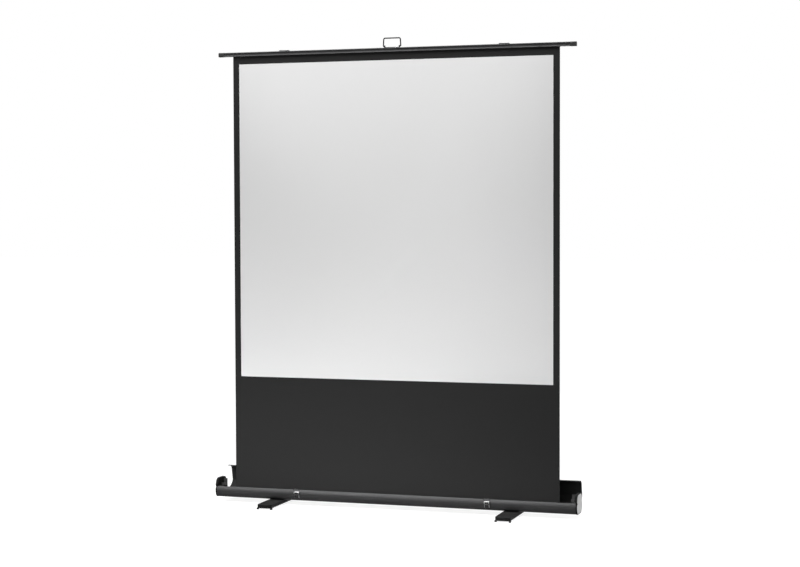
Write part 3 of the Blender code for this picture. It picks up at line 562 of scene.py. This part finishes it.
bmesh.ops.recalc_face_normals(sheet, faces=sheet.faces)
bmesh.ops.solidify(sheet, geom=sheet.faces[:], thickness=SHEET_THICK)
bmesh.ops.recalc_face_normals(sheet, faces=sheet.faces)
cloth_map = sheet.loops.layers.uv.new("cloth")
for face in sheet.faces:
    middle = face.calc_center_median()
    printed = abs(middle.x) < WHITE_HALF and WHITE_FOOT < middle.z < WHITE_HEAD
    if face.normal.y > -0.5:
        face.material_index = 2
    elif printed:
        face.material_index = 0
    else:
        face.material_index = 1
    for loop in face.loops:
        loop[cloth_map].uv = (loop.vert.co.x, loop.vert.co.z)
cloth = settle("screen_cloth", sheet, [white_cloth, mask_cloth, back_cloth], "case",
               "screen_fabric", "screen_sheet")
cloth.modifiers.clear()
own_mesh(cloth)


# Turns of cloth. The last turns of the same cloth stay on the tube, glued at its start and wound with
# the face inwards, so that the black back shows.

TURNS = 2.5
TURN_STEPS = 44
TURN_FROM = 0.0170
TURN_TO = 0.0178
TURN_THICK = 0.0002
WEAVE_RADIUS = 0.018

roll = bmesh.new()
spiral = []
for index in range(int(TURNS * TURN_STEPS) + 1):
    share = index / (TURNS * TURN_STEPS)
    angle = math.tau * TURNS * (share - 1.0)
    radius = TURN_FROM + (TURN_TO - TURN_FROM) * share
    spiral.append(roll.verts.new((-SHEET_HALF, ROLLER_Y + radius * math.cos(angle),
                                  ROLLER_Z + radius * math.sin(angle))))
rows = [roll.edges.new(pair) for pair in zip(spiral, spiral[1:])]
drawn = bmesh.ops.extrude_edge_only(roll, edges=rows)
bmesh.ops.translate(roll, vec=(2 * SHEET_HALF, 0, 0), verts=points_of(drawn))
bmesh.ops.recalc_face_normals(roll, faces=roll.faces)
bmesh.ops.solidify(roll, geom=roll.faces[:], thickness=TURN_THICK)
bmesh.ops.recalc_face_normals(roll, faces=roll.faces)
cloth_map = roll.loops.layers.uv.new("cloth")
for face in roll.faces:
    for loop in face.loops:
        dot = loop.vert.co
        wound = math.atan2(dot.z - ROLLER_Z, dot.y - ROLLER_Y)
        loop[cloth_map].uv = (dot.x, wound * WEAVE_RADIUS)
turns = settle("wound_cloth", roll, [back_cloth], "roller", "screen_fabric", "sheet_wrap")
turns.modifiers.clear()


# Arms. Two pairs of flat aluminium bars, 22 by 6 mm and 1.2 m between their pivots, stand behind the
# cloth and bend at the knee. Brackets, pins and washers join them to the case and the bar.

SEAT_SCREW_Y = 0.0185
SEAT_FLANGE = 0.0308

for side in ("left", "right"):
    for tier in ("lower", "upper"):
        eased_piece(side + "_" + tier + "_bar", side + "_" + tier + "_arm", satin, side + "_" + tier,
                    "arm_aluminium", edge=0.0008, steps=3)
    eased_piece(side + "_knee_disc", side + "_knee_washer", black_plastic, side + "_lower",
                "black_plastic", edge=0.0003)
    for node, name, body in ((side + "_knee_pin", side + "_knee_rivet", side + "_lower"),
                             ("base_pin_" + side, "base_rivet_" + side, "case"),
                             ("bar_pin_" + side, "bar_rivet_" + side, "bar")):
        eased_piece(name, node, zinc, body, "steel", edge=0.0005)
    eased_piece("arm_seat_" + side, "arm_bracket_" + side, black_coat, "case", "black_steel",
                edge=0.0005)
    low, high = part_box("arm_bracket_" + side)
    for number, along in ((1, 0.25), (2, 0.75)):
        spot = (low.x + (high.x - low.x) * along, SEAT_SCREW_Y, SEAT_FLANGE)
        pan_screw("arm_seat_screw_" + side + "_" + str(number), spot, (0, 0, 1), radius=0.0032,
                  rise=0.0016, body="case")


# Bar. A hollow aluminium extrusion, 22 by 20.5 mm and 1.76 m long, holds the cloth in a slot below and
# has a shallow cove along its front. It is lacquered dark grey, and grey moulded plugs close its ends.
# The brackets of the arms fold over it as straps, each with two screws.

BAR_HALF = 0.880
BAR_FRONT = -0.0150
BAR_BACK = 0.0070
BAR_LOW = 2.22855
BAR_HIGH = 2.24905
BAR_WALL = 0.0016
SLOT_HALF = 0.0008
COVE_LOW = 2.2297
COVE_HIGH = 2.2450
COVE_LEAN = 30.0
COVE_BACK = (-22.0, 24.0)
STRAP_SCREW_INSET = 0.006


def bend(centre, radius, start, stop, steps=8):
    """Points round a bend, by angle in degrees."""
    turns = [math.radians(start + (stop - start) * index / steps) for index in range(steps + 1)]
    return [(centre[0] + radius * math.cos(turn), centre[1] + radius * math.sin(turn))
            for turn in turns]


bar_coat = drawn_finish(
    "bar_lacquer", specular=0.08, shades=((0.044, 0.044, 0.045), (0.058, 0.058, 0.059)),
    line=0.0018, along=(0.004, 1.0, 1.0), patch=0.1, detail=5.0, rough=(0.36, 0.44),
)
plug_plastic = grained_finish(
    "plug_moulding", specular=0.10, shades=((0.032, 0.032, 0.032), (0.042, 0.042, 0.042)),
    patch=0.02, grain=0.0010, detail=4.0, rough=(0.44, 0.58), depth=0.00015, strength=0.3,
)

bar_middle = (BAR_FRONT + BAR_BACK) / 2
slot_front = SHEET_Y - SLOT_HALF
slot_back = SHEET_Y + SLOT_HALF
inside_back = BAR_BACK - BAR_WALL
inside_low = BAR_LOW + BAR_WALL
inside_high = BAR_HIGH - BAR_WALL
cove_radius = (COVE_HIGH - COVE_LOW) / 2 / math.sin(math.radians(COVE_LEAN))
cove_centre = (BAR_FRONT - cove_radius * math.cos(math.radians(COVE_LEAN)),
               (COVE_HIGH + COVE_LOW) / 2)
cove = bend(cove_centre, cove_radius, COVE_LEAN, -COVE_LEAN, steps=10)
cove_back = bend(cove_centre, cove_radius + BAR_WALL, *COVE_BACK)
outside = [(slot_back, BAR_LOW), (BAR_BACK, BAR_LOW), (BAR_BACK, BAR_HIGH), (BAR_FRONT, BAR_HIGH)]
outside += cove + [(BAR_FRONT, BAR_LOW), (slot_front, BAR_LOW)]
inside = [(slot_front, inside_low), (cove_back[0][0], inside_low)] + cove_back
inside += [(cove_back[-1][0], inside_high), (inside_back, inside_high), (inside_back, inside_low)]
inside += [(slot_back, inside_low)]

bar = bmesh.new()
end = bar.faces.new([bar.verts.new((-BAR_HALF, y, z)) for y, z in outside + inside])
drawn = bmesh.ops.extrude_face_region(bar, geom=[end])
bmesh.ops.translate(bar, vec=(2 * BAR_HALF, 0, 0), verts=points_of(drawn))
for corner, radius in (
    ((BAR_BACK, BAR_HIGH), 0.0060),
    ((BAR_FRONT, BAR_HIGH), 0.0040),
    ((BAR_BACK, BAR_LOW), 0.0030),
    ((BAR_FRONT, BAR_LOW), 0.0010),
    ((inside_back, inside_high), 0.0044),
    ((inside_back, inside_low), 0.0014),
):
    bends = [
        edge for edge in bar.edges
        if edge.calc_length() > BAR_HALF
        and (Vector(corner) - edge.verts[0].co.yz).length < 2 * WELD
    ]
    bmesh.ops.bevel(bar, geom=bends, offset=radius, offset_type="OFFSET", affect="EDGES",
                    segments=7, profile=0.5, material=-1)
bmesh.ops.recalc_face_normals(bar, faces=bar.faces)
settle("bar_extrusion", bar, [bar_coat], "bar", "bar_aluminium", "top_bar")

for side in ("left", "right"):
    eased_piece("bar_end_" + side, "bar_plug_" + side, plug_plastic, "bar", "black_plastic",
                edge=0.0012, steps=3)
    eased_piece("bar_strap_" + side, "bar_bracket_" + side, black_coat, "bar", "black_steel",
                edge=0.0006)
    low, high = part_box("bar_bracket_" + side)
    for number, along in ((1, low.x + STRAP_SCREW_INSET), (2, high.x - STRAP_SCREW_INSET)):
        pan_screw("strap_screw_" + side + "_" + str(number), (along, bar_middle, high.z), (0, 0, 1),
                  radius=0.0038, rise=0.0024, body="bar")


# Pull handle. A bail of 6 mm steel wire stands on the middle of the bar. Its feet turn in through two
# lugs of a folded base plate, which two screws hold to the bar. All but the screws is coated black.

BASE_FLOOR = 2.25135
BASE_SCREW_X = 0.020
BAIL_WIRE = 0.0030
BAIL_PIVOT = 2.25555
BAIL_TIP = 0.0355
FOOT_CENTRE = (0.0407, 0.0033)
FOOT_BEND = 0.0033
TOP_CENTRE = (0.0355, 0.0325)
TOP_BEND = 0.0070

eased_piece("bail_base", "pull_handle_base", black_coat, "bar", "black_steel", edge=0.0004)
for number, along in ((1, -BASE_SCREW_X), (2, BASE_SCREW_X)):
    pan_screw("bail_base_screw_" + str(number), (along, bar_middle, BASE_FLOOR), (0, 0, 1),
              radius=0.0034, rise=0.0012, body="bar")


def bent_wire(points, radius, closed):
    """Round wire along a path."""
    curve = bpy.data.curves.new("wire", "CURVE")
    curve.dimensions = "3D"
    curve.bevel_depth = radius
    curve.bevel_resolution = 5
    curve.use_fill_caps = True
    line = curve.splines.new("POLY")
    line.points.add(len(points) - 1)
    for dot, point in zip(line.points, points):
        dot.co = (*point, 1.0)
    line.use_cyclic_u = closed
    holder = bpy.data.objects.new("wire", curve)
    mesh = bpy.data.meshes.new_from_object(holder)
    made = bmesh.new()
    made.from_mesh(mesh)
    bpy.data.objects.remove(holder)
    bpy.data.curves.remove(curve)
    bpy.data.meshes.remove(mesh)
    bmesh.ops.remove_doubles(made, verts=made.verts, dist=CLOSE_WELD)
    bmesh.ops.recalc_face_normals(made, faces=made.faces)
    return made


half_bail = [(BAIL_TIP, 0.0)] + bend(FOOT_CENTRE, FOOT_BEND, 270.0, 360.0)
half_bail += bend(TOP_CENTRE, TOP_BEND, 0.0, 90.0)
whole_bail = half_bail + [(-across, rise) for across, rise in reversed(half_bail)]
bail = bent_wire([(across, bar_middle, BAIL_PIVOT + rise) for across, rise in whole_bail],
                 BAIL_WIRE, closed=False)
settle("bail", bail, [black_coat], "handle", "black_steel", "pull_handle")


# Lid. The second extrusion, 2 mm thick and hooked over the hinge bead, stands open behind the cloth.
# Its outside has the finish of the case, and its hollow is painted flat near black as painted shade.

LID_EDGE = 0.0005
HOLLOW = Vector((0.0, 0.092, 0.111))

# A flat near-black finish for the hollow of the lid: painted shade, standing in for the shade that
# falls in it.
hollow_painted_shade, tree, shader, place = new_finish("lid_hollow_painted_shade", metallic=0.0, specular=0.2)
hollow_speckle = speckle(tree, place, grain=0.0009)
tint(tree, hollow_speckle, shader, shades=((0.008, 0.008, 0.008), (0.012, 0.012, 0.012)))
roughen(tree, hollow_speckle, shader, rough=(0.70, 0.85))
relief(tree, hollow_speckle, shader, depth=0.0001, strength=0.3)

lid = cad_copy("case_lid")
ease(lid, LID_EDGE)
# Faces that look into the hollow take the near-black finish: painted shade in the recess.
for face in lid.faces:
    towards = HOLLOW - face.calc_center_median()
    towards.x = 0.0
    if abs(face.normal.x) < 0.5 and face.normal.dot(towards) > 0.0:
        face.material_index = 1
settle("lid_shell", lid, [case_coat, hollow_painted_shade], "lid", "case_aluminium", "case_lid")


# Latches. A bright plated steel plate with two ears is riveted to the front wall and carries a folded
# lever and a wire loop, which draws the lid shut by its catch. Lever, loop and catch are black.

LOOP_FOOT = Vector((-0.0670, 0.0575))
LOOP_HEAD = Vector((-0.0625, 0.0855))
LOOP_HALF = 0.0142
LOOP_BEND = 0.0035
LOOP_WIRE = 0.0011


def plated_finish(name, metallic, specular, shades, smudge, rough, strength):
    """A plated finish, smudged by handling, with the faint grain of the steel below."""
    finish, tree, shader, place = new_finish(name, metallic, specular)
    touched = speckle(tree, place, smudge, detail=5.0)
    tint(tree, touched, shader, shades)
    roughen(tree, touched, shader, rough)
    relief(tree, speckle(tree, place, grain=0.0008), shader, depth=0.0001, strength=strength)
    return finish


black_plate = plated_finish(
    "black_nickel", metallic=0.0, specular=0.20,
    shades=((0.010, 0.010, 0.0105), (0.017, 0.017, 0.0175)),
    smudge=0.006, rough=(0.22, 0.36), strength=0.06,
)
bright_plate = plated_finish(
    "bright_plate", metallic=1.0, specular=0.5,
    shades=((0.24, 0.24, 0.245), (0.32, 0.32, 0.325)),
    smudge=0.004, rough=(0.26, 0.38), strength=0.05,
)

run = (LOOP_HEAD - LOOP_FOOT).length
lean = (LOOP_HEAD - LOOP_FOOT) / run
inner = LOOP_HALF - LOOP_BEND
ring = bend((inner, run - LOOP_BEND), LOOP_BEND, 0.0, 90.0)
ring += bend((-inner, run - LOOP_BEND), LOOP_BEND, 90.0, 180.0)
ring += bend((-inner, LOOP_BEND), LOOP_BEND, 180.0, 270.0)
ring += bend((inner, LOOP_BEND), LOOP_BEND, 270.0, 360.0)
for side in ("left", "right"):
    eased_piece("catch_" + side, "lid_catch_" + side, black_plate, "lid", "chrome", edge=0.0003)
    eased_piece("toggle_plate_" + side, "latch_plate_" + side, bright_plate, "case", "chrome",
                edge=0.0003)
    eased_piece("toggle_lever_" + side, "latch_lever_" + side, black_plate, "lever_" + side, "chrome",
                edge=0.0004)
    low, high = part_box("latch_loop_" + side)
    middle = (low.x + high.x) / 2
    path = [(middle + across, *(LOOP_FOOT + lean * rise)) for across, rise in ring]
    loop_wire = bent_wire(path, LOOP_WIRE, closed=True)
    settle("toggle_loop_" + side, loop_wire, [black_plate], "loop_" + side, "chrome",
           "latch_loop_" + side)
